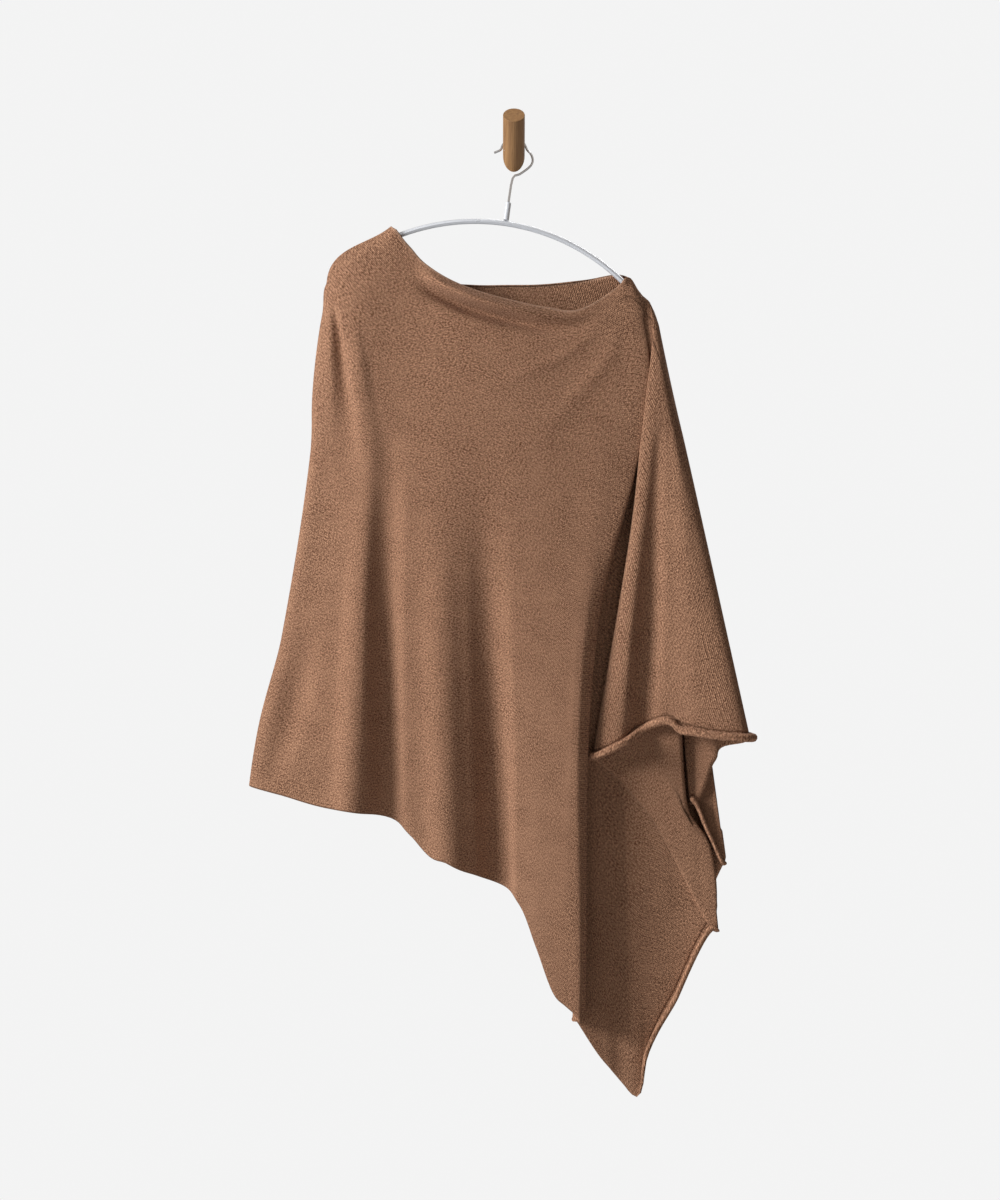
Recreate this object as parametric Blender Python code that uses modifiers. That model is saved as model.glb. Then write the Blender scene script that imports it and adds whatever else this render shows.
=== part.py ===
"""A poncho of plain knitting that hangs from an arc hanger on a slanting wooden wall peg."""

import math
from collections import namedtuple

import bmesh
import bpy
from mathutils import Matrix, Vector

MM = 0.001

# The wall is the plane y = 0 and the room lies towards -y. Heights are from the middle of the
# peg's foot on the wall. A depth is a distance forward from the wall.

# Wooden peg
PEG_RADIUS = 13.9 * MM
PEG_LENGTH = 66 * MM
PEG_SLANT = math.radians(47)
PEG_EDGE = 1.2 * MM

# Hook of round wire
WIRE_RADIUS = 1.5 * MM

# Arc of tube with domed ends
ARM_DEPTH = 36 * MM
ARM_RADIUS = 268 * MM
ARM_TUBE = 3.4 * MM
ARM_CENTRE_X = -49.5 * MM
ARM_CENTRE_Z = -354 * MM
ARM_LEFT_ANGLE = math.radians(-40.2)
ARM_RIGHT_ANGLE = math.radians(57.0)
ARM_STEPS = 40

# Ferrule
FERRULE_TOP = Vector((-7, -30, -62)) * MM
FERRULE_FOOT = Vector((-10, -35.5, -84.6)) * MM
FERRULE_RADIUS = 3.6 * MM
FERRULE_EDGE = 0.6 * MM

# Knitting
WALL = 2.0 * MM
SEAM_GAP = 0.4 * MM
CREST = 0.005
STATIONS = (0.0, 0.15, 0.42, 1.0)
ROLL_NECK = 1.5
ROLL_HEM = 9.0
ROLL_DEPTH = 8.0
ROLL_STARTS = 0.03
ROLL_GROWS = 0.15
CREST_WALL = 0.5
EASE_PASSES = 14
EASE_STARTS = 0.04
EASE_ENDS = 0.3

Guide = namedtuple("Guide", "name top shoulder waist hem roll arc", defaults=(0,))

# Each guide runs down one fold of the knitting, from the top edge to the hem or the short end. Its
# places are (x, height, depth) in millimetres. A roll of 1 turns the knitting under at its left, and
# of -1 at its right. An arc bows it over the left of the hanger.
FRONT_GUIDES = (
    Guide("left fold", (-156, -92, 36.2), (-238, -165, 36.2), (-259, -383, 36.2), (-330, -805, 36.2), 0, 11),
    Guide("left side", (-152, -96, 43), (-233, -172, 44), (-253, -386, 43), (-323, -808, 41), 0, 10.5),
    Guide("left rise", (-148, -101, 45), (-216, -187, 54), (-233, -392, 49), (-296, -816, 49), 0, 7),
    Guide("left bulge", (-139, -113, 46), (-192, -210, 60), (-207, -402, 58), (-248, -830, 62), 0, 4),
    Guide("bulge side", (-130, -123, 47), (-170, -225, 60), (-182, -410, 64), (-200, -838, 70), 0),
    Guide("deep trough", (-118, -137, 49), (-147, -238, 61), (-159, -417, 66), (-159, -844, 53), 0),
    Guide("middle ridge", (-99, -151, 53), (-119, -248, 64), (-132, -428, 69), (-126, -872, 60), 0),
    Guide("middle", (-71, -166, 57), (-81, -261, 68), (-87, -440, 74), (-77, -906, 70), 0),
    Guide("soft trough", (-38, -178, 59), (-40, -273, 70), (-40, -453, 73), (-28, -925, 49), 0),
    Guide("right ridge", (-1, -188, 60), (-3, -283, 71), (3, -466, 76), (5, -953, 59), 0),
    Guide("right side", (42, -197, 59), (39, -293, 71), (43, -497, 78), (27, -1007, 73), 0),
    Guide("by the edge", (85, -199, 56), (86, -296, 68), (76, -529, 79), (49, -1065, 82), 0),
    Guide("neck end", (131, -170, 47), (132, -296, 65), (90, -557, 80), (66, -1082, 85), 0),
    Guide("neck corner", (145, -157, 49), (148, -299, 64), (97, -562, 80), (80, -1094, 86), 0),
    Guide("body edge", (153, -171, 46), (161, -326, 58), (103, -576, 74), (89, -1102, 78), -1),
    Guide("tuck", (159, -176, 46), (153, -329, 51), (86, -582, 63), (76, -1101, 67), 1),
    Guide("behind left", (164, -180, 45), (166, -331, 45), (116, -595, 52), (109, -1147, 53), 0),
    Guide("corner", (168, -184, 45), (177, -334, 43), (162, -602, 46), (156, -1189, 47), 0),
    Guide("behind right", (171, -187, 45), (183, -329, 43), (187, -574, 45), (205, -1077, 43), 0),
    Guide("right turn", (173.6, -191, 46), (185, -314, 48), (199, -531, 50), (243, -976, 47), -1),
    Guide("inside layer", (176, -196, 46), (180, -304, 54), (170, -491, 56), (175, -845, 51), 0),
    Guide("sleeve fold", (178, -200, 46), (174, -288, 62), (152, -441, 65), (98, -770, 60), 1),
    Guide("sleeve left", (179.5, -204, 46), (181, -287, 67), (168, -438, 71), (128, -758, 71), 0),
    Guide("sleeve trough", (181, -208, 46), (185, -286, 65), (180, -433, 68), (161, -737, 62.5), 0),
    Guide("sleeve ridge", (182.2, -212, 45), (190, -285, 62), (196, -428, 71), (195, -725, 64), 0),
    Guide("sleeve right", (183.3, -215, 42), (194, -284, 57), (215, -425, 76), (238, -741, 76), 0),
    Guide("by the seam", (183.9, -217, 39.5), (194.6, -283.5, 46), (225, -424.5, 64), (285, -747, 82), 0),
    Guide("seam", (184.3, -219, 36.2), (195, -283, 36.2), (228, -424, 36.2), (297, -746, 36.2), 0),
)
BACK_GUIDES = (
    Guide("left fold", (-156, -92, 35.8), (-238, -165, 35.8), (-259, -383, 35.8), (-330, -805, 35.8), 0, 11),
    Guide("left side", (-152, -97, 29), (-233, -173, 27), (-253, -387, 23), (-323, -808, 22), 0, 10.5),
    Guide("left back", (-142, -116, 27), (-210, -200, 15), (-226, -398, 11), (-290, -813, 10), 0, 5),
    Guide("back ridge", (-118, -145, 27), (-160, -236, 17), (-180, -415, 17), (-215, -828, 20), 0),
    Guide("back trough", (-86, -164, 27), (-108, -262, 11), (-128, -440, 8), (-154, -835, 8), 0),
    Guide("middle ridge", (-50, -168, 27), (-62, -272, 15), (-84, -450, 17), (-110, -866, 22), 0),
    Guide("middle trough", (-10, -168, 27), (-14, -276, 11), (-30, -460, 8), (-54, -902, 8), 0),
    Guide("right ridge", (40, -167, 27), (42, -282, 15), (34, -484, 17), (-4, -932, 22), 0),
    Guide("right trough", (92, -161, 28), (92, -290, 11), (70, -520, 8), (30, -1010, 9), 0),
    Guide("neck end", (131, -153, 27), (140, -296, 13), (112, -548, 14), (62, -1072, 16), 0),
    Guide("neck corner", (145, -157, 25), (150, -306, 12), (124, -562, 11), (86, -1100, 11), 0),
    Guide("behind body", (154, -172, 27), (161, -318, 11), (138, -580, 8.5), (112, -1134, 8), 0),
    Guide("corner", (163, -180, 27), (173, -324, 10), (164, -592, 8.5), (150, -1173, 8), 0),
    Guide("behind right", (170, -186, 27), (182, -312, 10), (190, -560, 8.5), (214, -1020, 9), 0),
    Guide("right turn", (174, -192, 27), (188, -304, 14.5), (215, -500, 14), (269, -903, 16), -1),
    Guide("outside layer", (177.5, -199, 27), (184.5, -300, 19), (206, -490, 20), (247, -868, 22), 0),
    Guide("left turn", (180.3, -206, 28), (182, -292, 23.5), (195, -468, 26), (224, -827, 28), 1),
    Guide("inside layer", (182.2, -212, 29), (187, -288, 28), (205, -448, 30), (240, -808, 31.5), 0),
    Guide("end", (183.4, -216, 32), (192, -285, 31.5), (218, -434, 32), (257, -769, 32.5), 0),
    Guide("seam", (184.3, -219, 35.8), (195, -283, 35), (228, -424, 34.2), (297, -746, 33.6), 0),
)
FRONT_NECK_GUIDE = 12
BACK_NECK_GUIDE = 9

# Cells between two guides and in a turn, and the rows down, closer together at the top edge.
FOLD_CELLS = 3
TURN_CELLS = 2
TURN_LENGTH = 2.9
ROWS = (0, 0.0025, 0.007, 0.016, 0.032, 0.06, 0.09, 0.12, 0.15)
ROWS += (0.21, 0.27, 0.335, 0.41, 0.5, 0.6, 0.71, 0.82, 0.92, 1)


def clear_scene():
    for thing in list(bpy.data.objects):
        bpy.data.objects.remove(thing, do_unlink=True)


def new_collection(name):
    collection = bpy.data.collections.new(name)
    bpy.context.scene.collection.children.link(collection)
    return collection


def new_material(name, colour, roughness, metallic=0.0):
    material = bpy.data.materials.new(name)
    material.use_nodes = True
    shader = material.node_tree.nodes["Principled BSDF"]
    shader.inputs["Base Color"].default_value = (*colour, 1)
    shader.inputs["Roughness"].default_value = roughness
    shader.inputs["Metallic"].default_value = metallic
    return material


def through(stations, values, place):
    """A smooth value at a place between stations, through every value."""
    last = len(stations) - 1
    index = 0
    while index < last - 1 and place > stations[index + 1]:
        index += 1
    slopes = []
    for spot in (index, index + 1):
        if spot == 0 or spot == last:
            near = min(max(spot, 1), last)
            slopes.append((values[near] - values[near - 1]) / (stations[near] - stations[near - 1]))
            continue
        before = stations[spot] - stations[spot - 1]
        after = stations[spot + 1] - stations[spot]
        slope_before = (values[spot] - values[spot - 1]) / before
        slope_after = (values[spot + 1] - values[spot]) / after
        slopes.append((slope_before * after + slope_after * before) / (before + after))
    length = stations[index + 1] - stations[index]
    share = (place - stations[index]) / length
    rise = values[index + 1] - values[index]
    start = slopes[0] * length
    end = slopes[1] * length
    curve = share * (start + share * (3 * rise - 2 * start - end + share * (start + end - 2 * rise)))
    return values[index] + curve


def guide_place(guide, down):
    places = [Vector(guide.top), Vector(guide.shoulder), Vector(guide.waist), Vector(guide.hem)]
    share = min(down / STATIONS[1], 1)
    bow = guide.arc * 6.75 * share * share * (1 - share)
    return through(STATIONS, places, down) + Vector((-0.68, 0.73, 0)) * bow


def turn_place(place, beside, bow, rise, share):
    """A place just before or after a turn: on the way to the next guide at the top, rounded lower down."""
    straight = (beside - place) * 0.3
    rounded = Vector((bow, 0, math.copysign(rise, beside.z - place.z)))
    return place + straight.lerp(rounded, share)


def section(guides, down):
    """The places across one row, with a rounded turn at each guide that has a roll."""
    share = min(max((down - ROLL_STARTS) / ROLL_GROWS, 0), 1)
    share = share * share * (3 - 2 * share)
    row = [guide_place(guide, down) for guide in guides]
    places = []
    for index, guide in enumerate(guides):
        place = row[index]
        if not guide.roll:
            places.append(place)
            continue
        before = row[index - 1]
        after = row[index + 1]
        bow = guide.roll * (ROLL_NECK + (ROLL_HEM - ROLL_NECK) * down) / 2
        rise = 0.6 * min(abs(before.z - place.z), abs(after.z - place.z), ROLL_DEPTH)
        places.append(turn_place(place, before, bow, rise, share))
        places.append(place)
        places.append(turn_place(place, after, bow, rise, share))
    return places


def stations_across(places):
    """How far along each place counts, with long gaps drawn in, so that turns stay round."""
    stations = [0.0]
    for index in range(1, len(places)):
        gap = (places[index] - places[index - 1]).length
        stations.append(stations[-1] + math.sqrt(max(gap, 3.0)))
    return stations


def steps_across(stations):
    """The places where cells meet across a row: fewer in a turn than between two folds."""
    steps = []
    for start, end in zip(stations, stations[1:]):
        cells = TURN_CELLS if end - start < TURN_LENGTH else FOLD_CELLS
        steps.extend(start + (end - start) * cell / cells for cell in range(cells))
    steps.append(stations[-1])
    return steps


def eased(places, down):
    """One row with its corners eased: most just under the top edge, where the folds meet."""
    share = min(down / EASE_STARTS, 1 - down / EASE_ENDS)
    for _ in range(round(EASE_PASSES * share)):
        beside = zip(places, places[1:], places[2:])
        inner = [before / 4 + place / 2 + after / 4 for before, place, after in beside]
        places = [places[0], *inner, places[-1]]
    return places


def faces_backwards(mesh, facing):
    return sum(face.normal.y * face.area for face in mesh.polygons) * facing > 0


def panel(name, guides, neck_guide, facing, collection, material):
    """Knitting lofted through the guides. Facing is 1 for the front and -1 for the back."""
    sections = [section(guides, down) for down in ROWS]
    stations = stations_across(section(guides, 0.5))
    across = steps_across(stations)
    neck = stations[neck_guide]
    neck_after = stations[neck_guide + 1]
    seam_depth = ARM_DEPTH / MM + facing * SEAM_GAP / MM / 2

    mesh = bpy.data.meshes.new(name)
    shape = bmesh.new()
    bmesh.ops.create_grid(shape, x_segments=len(across) - 1, y_segments=len(ROWS) - 1, size=1)
    shape.verts.ensure_lookup_table()
    weights = []
    for row, places in enumerate(sections):
        spots = eased([through(stations, places, spot) for spot in across], ROWS[row])
        for column, place in enumerate(spots):
            closed = min(max((across[column] - neck) / (neck_after - neck), 0), 1) ** 3
            rise = 1 - closed * math.exp(-ROWS[row] / CREST)
            depth = seam_depth + (place.z - seam_depth) * rise
            vert = shape.verts[row * len(across) + column]
            vert.co = Vector((place.x, -depth, place.y)) * MM
            thin = closed * max(1 - ROWS[row] / ROLL_GROWS, 0)
            weights.append(1 - (1 - CREST_WALL) * thin)
    shape.to_mesh(mesh)
    shape.free()
    if faces_backwards(mesh, facing):
        mesh.flip_normals()
    mesh.materials.append(material)
    item = bpy.data.objects.new(name, mesh)
    collection.objects.link(item)
    group = item.vertex_groups.new(name="wall")
    for index, weight in enumerate(weights):
        group.add([index], weight, "REPLACE")
    wall = item.modifiers.new("wall", "SOLIDIFY")
    wall.thickness = WALL
    wall.offset = -1
    wall.vertex_group = "wall"
    apply_modifiers(item)
    for vert in item.data.vertices:
        vert.co.y = -facing * max(-facing * vert.co.y, facing * seam_depth * MM)
    smooth(item)


def apply_modifiers(item):
    graph = bpy.context.evaluated_depsgraph_get()
    mesh = bpy.data.meshes.new_from_object(item.evaluated_get(graph))
    item.modifiers.clear()
    item.data = mesh


def smooth(item):
    for face in item.data.polygons:
        face.use_smooth = True
    item.data.set_sharp_from_angle(angle=math.radians(40))


def tube_along(name, points, radius, sides, collection, material):
    data = bpy.data.curves.new(name, "CURVE")
    data.dimensions = "3D"
    data.bevel_depth = radius
    data.bevel_resolution = sides
    data.use_fill_caps = True
    line = data.splines.new("POLY")
    line.points.add(len(points) - 1)
    for spot, point in zip(line.points, points):
        spot.co = (*point, 1)
    item = bpy.data.objects.new(name, data)
    collection.objects.link(item)
    data.materials.append(material)
    return item


def main():
    clear_scene()
    poncho = new_collection("knitted_poncho")
    knitting = new_material("camel knitting", (0.30, 0.165, 0.105), 0.95)
    white = new_material("white satin", (0.80, 0.82, 0.85), 0.35)
    chrome = new_material("chrome wire", (0.62, 0.63, 0.65), 0.12, 1.0)
    wood = new_material("oiled wood", (0.33, 0.17, 0.065), 0.5)
    panel("front_panel", FRONT_GUIDES, FRONT_NECK_GUIDE, 1, poncho, knitting)
    panel("back_panel", BACK_GUIDES, BACK_NECK_GUIDE, -1, poncho, knitting)
    arm(poncho, white)
    ferrule(poncho, white)
    hook(poncho, chrome)
    peg(poncho, wood)


def arm(collection, material):
    points = []
    for step in range(ARM_STEPS + 1):
        angle = ARM_LEFT_ANGLE + (ARM_RIGHT_ANGLE - ARM_LEFT_ANGLE) * step / ARM_STEPS
        x = ARM_CENTRE_X + ARM_RADIUS * math.sin(angle)
        z = ARM_CENTRE_Z + ARM_RADIUS * math.cos(angle)
        points.append(Vector((x, -ARM_DEPTH, z)))
    tube_along("hanger_arm", points, ARM_TUBE, 2, collection, material)


def ferrule(collection, material):
    axis = FERRULE_TOP - FERRULE_FOOT
    turn = axis.to_track_quat("Z", "Y").to_matrix().to_4x4()
    place = Matrix.Translation((FERRULE_TOP + FERRULE_FOOT) / 2) @ turn
    shape = bmesh.new()
    bmesh.ops.create_cone(
        shape,
        cap_ends=True,
        segments=20,
        radius1=FERRULE_RADIUS,
        radius2=FERRULE_RADIUS,
        depth=axis.length,
        matrix=place,
    )
    item = from_shape("hanger_ferrule", shape, collection, material)
    edge = item.modifiers.new("edge", "BEVEL")
    edge.width = FERRULE_EDGE
    edge.segments = 2
    edge.limit_method = "ANGLE"


def hook(collection, material):
    rows = (
        ("tip", -25, 4, 4),
        ("left", -16.8, 8, 3),
        ("left rise", -14.2, 14, 2.3),
        ("left shoulder", -7.6, 22.8, 2.2),
        ("top", 0, 25.4, 2.2),
        ("right shoulder", 7.6, 22.8, 2.2),
        ("right rise", 14.2, 14, 2.3),
        ("right", 16.8, 8, 3),
        ("turn", 22.5, 1, 4),
        ("far turn", 24, -7.5, 6),
        ("under", 19.5, -15, 8),
        ("neck", 7.5, -24, 11),
        ("stem", -1.5, -29.5, 14),
        ("foot", -6.8, -61, 29.6),
    )
    stations = list(range(len(rows)))
    places = [Vector((x, -depth, height)) * MM for name, x, height, depth in rows]
    points = [through(stations, places, step / 3) for step in range(3 * stations[-1] + 1)]
    tube_along("hanger_hook", points, WIRE_RADIUS, 2, collection, material)


def peg(collection, material):
    turn = Matrix.Rotation(math.pi / 2 - PEG_SLANT, 4, "X")
    shape = bmesh.new()
    bmesh.ops.create_cone(
        shape,
        cap_ends=True,
        segments=32,
        radius1=PEG_RADIUS,
        radius2=PEG_RADIUS,
        depth=2 * PEG_LENGTH,
        matrix=turn,
    )
    bmesh.ops.bisect_plane(
        shape,
        geom=shape.verts[:] + shape.edges[:] + shape.faces[:],
        plane_co=(0, 0, 0),
        plane_no=(0, 1, 0),
        clear_outer=True,
    )
    foot = [edge for edge in shape.edges if edge.is_boundary]
    bmesh.ops.contextual_create(shape, geom=foot)
    item = from_shape("wall_peg", shape, collection, material)
    edge = item.modifiers.new("edge", "BEVEL")
    edge.width = PEG_EDGE
    edge.segments = 2
    edge.limit_method = "ANGLE"
    edge.angle_limit = math.radians(80)


def from_shape(name, shape, collection, material):
    bmesh.ops.recalc_face_normals(shape, faces=shape.faces)
    mesh = bpy.data.meshes.new(name)
    shape.to_mesh(mesh)
    shape.free()
    mesh.materials.append(material)
    item = bpy.data.objects.new(name, mesh)
    collection.objects.link(item)
    smooth(item)
    return item


main()
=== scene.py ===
import math
from collections import namedtuple

import bpy
import numpy as np
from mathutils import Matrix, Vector


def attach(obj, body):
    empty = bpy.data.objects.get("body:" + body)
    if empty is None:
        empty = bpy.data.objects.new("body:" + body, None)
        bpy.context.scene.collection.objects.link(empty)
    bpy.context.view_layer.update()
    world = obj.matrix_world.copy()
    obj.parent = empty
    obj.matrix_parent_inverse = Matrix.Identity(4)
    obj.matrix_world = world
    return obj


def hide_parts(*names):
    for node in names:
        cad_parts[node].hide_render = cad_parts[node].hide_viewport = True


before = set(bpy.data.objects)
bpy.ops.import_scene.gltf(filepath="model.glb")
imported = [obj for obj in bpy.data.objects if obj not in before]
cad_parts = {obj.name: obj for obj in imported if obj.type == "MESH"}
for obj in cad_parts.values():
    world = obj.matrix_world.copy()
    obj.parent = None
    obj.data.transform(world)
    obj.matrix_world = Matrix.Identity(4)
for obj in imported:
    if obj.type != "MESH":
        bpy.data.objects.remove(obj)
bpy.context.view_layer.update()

mm = 0.001


def newCollection(name):
    collection = bpy.data.collections.new(name)
    bpy.context.scene.collection.children.link(collection)
    return collection


looks = newCollection("poncho_looks")
studio = newCollection("studio")


def moveTo(collection, item):
    for other in list(item.users_collection):
        other.objects.unlink(item)
    collection.objects.link(item)


# a shader node with its inputs set or linked
def addNode(tree, kind, inputs=None, **settings):
    node = tree.nodes.new(kind)
    for name, value in settings.items():
        setattr(node, name, value)
    for name, value in (inputs or {}).items():
        socket = node.inputs[name]
        if isinstance(value, bpy.types.NodeSocket):
            tree.links.new(value, socket)
        else:
            socket.default_value = value
    return node


def mathNode(tree, operation, *values):
    return addNode(tree, "ShaderNodeMath", dict(enumerate(values)), operation=operation).outputs[0]


def noiseNode(tree, place, scale, detail=2.0, roughness=0.5):
    inputs = {"Vector": place, "Scale": scale, "Detail": detail, "Roughness": roughness}
    return addNode(tree, "ShaderNodeTexNoise", inputs)


# the value brought from one range to another and kept inside it
def rangeNode(tree, value, low, high, toLow=0.0, toHigh=1.0):
    inputs = {"Value": value, "From Min": low, "From Max": high, "To Min": toLow, "To Max": toHigh}
    return addNode(tree, "ShaderNodeMapRange", inputs).outputs[0]


mixSockets = {"share": 0, "first": 6, "second": 7, "result": 2}  # of a Mix node that mixes colours


def mixColour(tree, share, first, second, blend="MIX"):
    values = {mixSockets["share"]: share}
    for name, colour in (("first", first), ("second", second)):
        values[mixSockets[name]] = (*colour, 1) if isinstance(colour, tuple) else colour
    node = addNode(tree, "ShaderNodeMix", data_type="RGBA", blend_type=blend)
    for index, value in values.items():
        if isinstance(value, bpy.types.NodeSocket):
            tree.links.new(value, node.inputs[index])
        else:
            node.inputs[index].default_value = value
    return node.outputs[mixSockets["result"]]


def newGroup(name, outputs):
    group = bpy.data.node_groups.new(name, "ShaderNodeTree")
    for label, kind in outputs:
        group.interface.new_socket(name=label, in_out="OUTPUT", socket_type=kind)
    return group


def newMaterial(name, roughness, metallic=0.0):
    material = bpy.data.materials.new(name)
    material.use_nodes = True
    shader = material.node_tree.nodes["Principled BSDF"]
    shader.inputs["Roughness"].default_value = roughness
    shader.inputs["Metallic"].default_value = metallic
    return material, material.node_tree, shader


# lengths in metres; relief and noise have no unit; a noise is its scale, detail and roughness
knit = {
    "waleStep": 0.0041,  # from one column of stitches to the next
    "courseStep": 0.0031,  # from one row of stitches to the next
    "light": (0.64, 0.355, 0.22),
    "middle": (0.34, 0.17, 0.1),
    "dark": (0.09, 0.035, 0.018),
    "calm": 0.08,  # share of the middle colour in the heather
    "stray": 0.0028,  # how far the stitches leave their rows
    "strayScale": 28.0,
    "slant": 0.8,  # of a stitch's two legs
    "strands": (0.45, 0.55),  # share of a leg's height that the rows cut, and that they leave
    "wave": 0.22,  # of the bars on the reverse
    "barRelief": 0.24,
    "fuzzNoise": (620.0, 3.0, 0.7),
    "fuzz": 0.7,
    "speckScale": (400.0, 480.0, 1.0),  # along the cloth, across it
    "speckNoise": (1.0, 2.5, 0.65),
    "speckRange": (0.37, 0.66),
    "cloudNoise": (34.0, 3.0, 0.6),
    "cloudRange": (0.3, 0.7),
    "cloud": 0.22,
    "shade": (0.62, 1.06),  # painted shade between the stitches, and a little painted light on them
    "shadeTop": 0.7,
    "bump": 0.0011,
    "bumpStrength": 0.85,
    "roughness": 0.92,
    "specular": 0.08,
    "sheen": 0.06,
    "sheenRoughness": 0.45,
    "sheenTint": (0.95, 0.82, 0.72, 1),
}
# what is drawn beside the top edge and above the rolled end, in metres on the flat knitting: grooves cut in
# and darkened with painted shade, and a painted highlight on the neck's rim
edges = {
    "seamStarts": (0.335, 0.345),
    "seamFades": (0.47, 0.52),
    "fadesTo": 0.2,
    "seamAcross": 0.018,
    "seamHalfWidth": 0.0018,
    "endAlong": 0.9425,
    "endHalfWidth": 0.0022,
    # painted shade in the grooves
    "grooveShadeColour": (0.05, 0.02, 0.01),
    "grooveShadeShare": 0.55,
    "grooveDepth": 1.2,
    # a painted highlight along the neck's rim
    "rimHalfWidth": 0.003,
    "rimHighlightColour": (0.75, 0.5, 0.36),
    "rimHighlightShare": 0.35,
}


# 1 where the value is at the middle of a band, and 0 outside it
def bandNode(tree, value, middle, halfWidth):
    off = mathNode(tree, "ABSOLUTE", mathNode(tree, "SUBTRACT", value, middle))
    return rangeNode(tree, off, 0.0, halfWidth, 1.0, 0.0)


def waveNode(tree, turns):
    return mathNode(tree, "SINE", mathNode(tree, "MULTIPLY", turns, 2 * math.pi))


# the right side: two legs in each column, cut by slanting rows
def rightRelief(tree, wale, course):
    centred = mathNode(tree, "ABSOLUTE", mathNode(tree, "SUBTRACT", mathNode(tree, "FRACT", wale), 0.5))
    away = mathNode(tree, "MULTIPLY", centred, 2.0)
    strand = waveNode(tree, mathNode(tree, "MULTIPLY_ADD", away, knit["slant"], course))
    strand = mathNode(tree, "MULTIPLY_ADD", strand, 0.5, 0.5)
    off = mathNode(tree, "SUBTRACT", mathNode(tree, "MULTIPLY", away, 2.0), 1.0)
    leg = mathNode(tree, "SUBTRACT", 1.0, mathNode(tree, "MULTIPLY", off, off))
    middle = mathNode(tree, "MULTIPLY", mathNode(tree, "SUBTRACT", 1.0, away), 0.5)
    leg = mathNode(tree, "MAXIMUM", leg, middle)
    return mathNode(tree, "MULTIPLY", leg, mathNode(tree, "MULTIPLY_ADD", strand, *knit["strands"]))


# the reverse: wavy bars along the rows
def reverseRelief(tree, wale, course):
    bent = mathNode(tree, "MULTIPLY_ADD", waveNode(tree, wale), knit["wave"], course)
    return mathNode(tree, "MULTIPLY_ADD", waveNode(tree, bent), knit["barRelief"], 0.5)


# places on the flat knitting, moved a little so that no row is straight
def strayNode(tree, flat, place):
    wander = noiseNode(tree, place, knit["strayScale"])
    uneven = {0: wander.outputs["Color"], 1: (0.5, 0.5, 0.5)}
    uneven = addNode(tree, "ShaderNodeVectorMath", uneven, operation="SUBTRACT").outputs[0]
    shift = {0: uneven, "Scale": knit["stray"]}
    shift = addNode(tree, "ShaderNodeVectorMath", shift, operation="SCALE").outputs[0]
    return addNode(tree, "ShaderNodeVectorMath", {0: flat, 1: shift}, operation="ADD").outputs[0]


# heathered yarn, with painted shade between the stitches and a little painted light on their tops
def yarnColour(tree, place, stray, relief):
    drawn = addNode(tree, "ShaderNodeMapping", {"Vector": stray, "Scale": knit["speckScale"]}).outputs[0]
    speck = noiseNode(tree, drawn, *knit["speckNoise"]).outputs["Fac"]
    cloud = noiseNode(tree, place, *knit["cloudNoise"]).outputs["Fac"]
    tone = mixColour(tree, rangeNode(tree, speck, *knit["speckRange"]), knit["dark"], knit["light"])
    tone = mixColour(tree, knit["calm"], tone, knit["middle"])
    cloudShare = mathNode(tree, "MULTIPLY", rangeNode(tree, cloud, *knit["cloudRange"]), knit["cloud"])
    tone = mixColour(tree, cloudShare, tone, knit["light"])
    grey = rangeNode(tree, relief, 0.0, knit["shadeTop"], *knit["shade"])
    shade = addNode(tree, "ShaderNodeCombineXYZ", {0: grey, 1: grey, 2: grey}).outputs[0]
    return mixColour(tree, 1.0, tone, shade, "MULTIPLY")


# masks of the grooves (the shoulder seam's, and above the roll on the right side), which are cut in and get
# painted shade, and of the neck's rim, which gets a painted highlight
def edgeMasks(tree, flat, reverse):
    along, across = addNode(tree, "ShaderNodeSeparateXYZ", {0: flat}).outputs[:2]
    seamPart = rangeNode(tree, along, *edges["seamStarts"])
    seamFades = rangeNode(tree, along, *edges["seamFades"], 1.0, edges["fadesTo"])
    groove = bandNode(tree, across, edges["seamAcross"], edges["seamHalfWidth"])
    groove = mathNode(tree, "MULTIPLY", groove, mathNode(tree, "MULTIPLY", seamPart, seamFades))
    # a line of painted shade above the roll, which is also cut in
    if not reverse:
        above = bandNode(tree, along, edges["endAlong"], edges["endHalfWidth"])
        groove = mathNode(tree, "MAXIMUM", groove, above)
    neckPart = mathNode(tree, "SUBTRACT", 1.0, seamPart)
    rim = mathNode(tree, "MULTIPLY", bandNode(tree, across, 0.0, edges["rimHalfWidth"]), neckPart)
    return groove, rim


# colour and height of plain knitting from its own UV map in metres: its right side, or its reverse, with
# painted shade and painted highlights in the colour
def knitGroup(name, reverse):
    group = newGroup(name, (("Colour", "NodeSocketColor"), ("Height", "NodeSocketFloat")))
    flat = addNode(group, "ShaderNodeUVMap", uv_map="cloth").outputs[0]
    place = addNode(group, "ShaderNodeTexCoord").outputs["Object"]
    stray = strayNode(group, flat, place)
    along, across = addNode(group, "ShaderNodeSeparateXYZ", {0: stray}).outputs[:2]
    wale = mathNode(group, "DIVIDE", across, knit["waleStep"])
    course = mathNode(group, "DIVIDE", along, knit["courseStep"])
    relief = (reverseRelief if reverse else rightRelief)(group, wale, course)
    fuzz = noiseNode(group, place, *knit["fuzzNoise"]).outputs["Fac"]
    height = mathNode(group, "MULTIPLY_ADD", fuzz, knit["fuzz"], relief)
    colour = yarnColour(group, place, stray, relief)
    groove, rim = edgeMasks(group, flat, reverse)
    # painted shade in the grooves
    grooveShadeShare = mathNode(group, "MULTIPLY", groove, edges["grooveShadeShare"])
    colour = mixColour(group, grooveShadeShare, colour, edges["grooveShadeColour"])
    # painted highlight along the neck's rim
    rimHighlightShare = mathNode(group, "MULTIPLY", rim, edges["rimHighlightShare"])
    colour = mixColour(group, rimHighlightShare, colour, edges["rimHighlightColour"])
    cut = mathNode(group, "MULTIPLY", groove, edges["grooveDepth"])
    height = mathNode(group, "SUBTRACT", height, cut)
    addNode(group, "NodeGroupOutput", {"Colour": colour, "Height": height})
    return group


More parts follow.
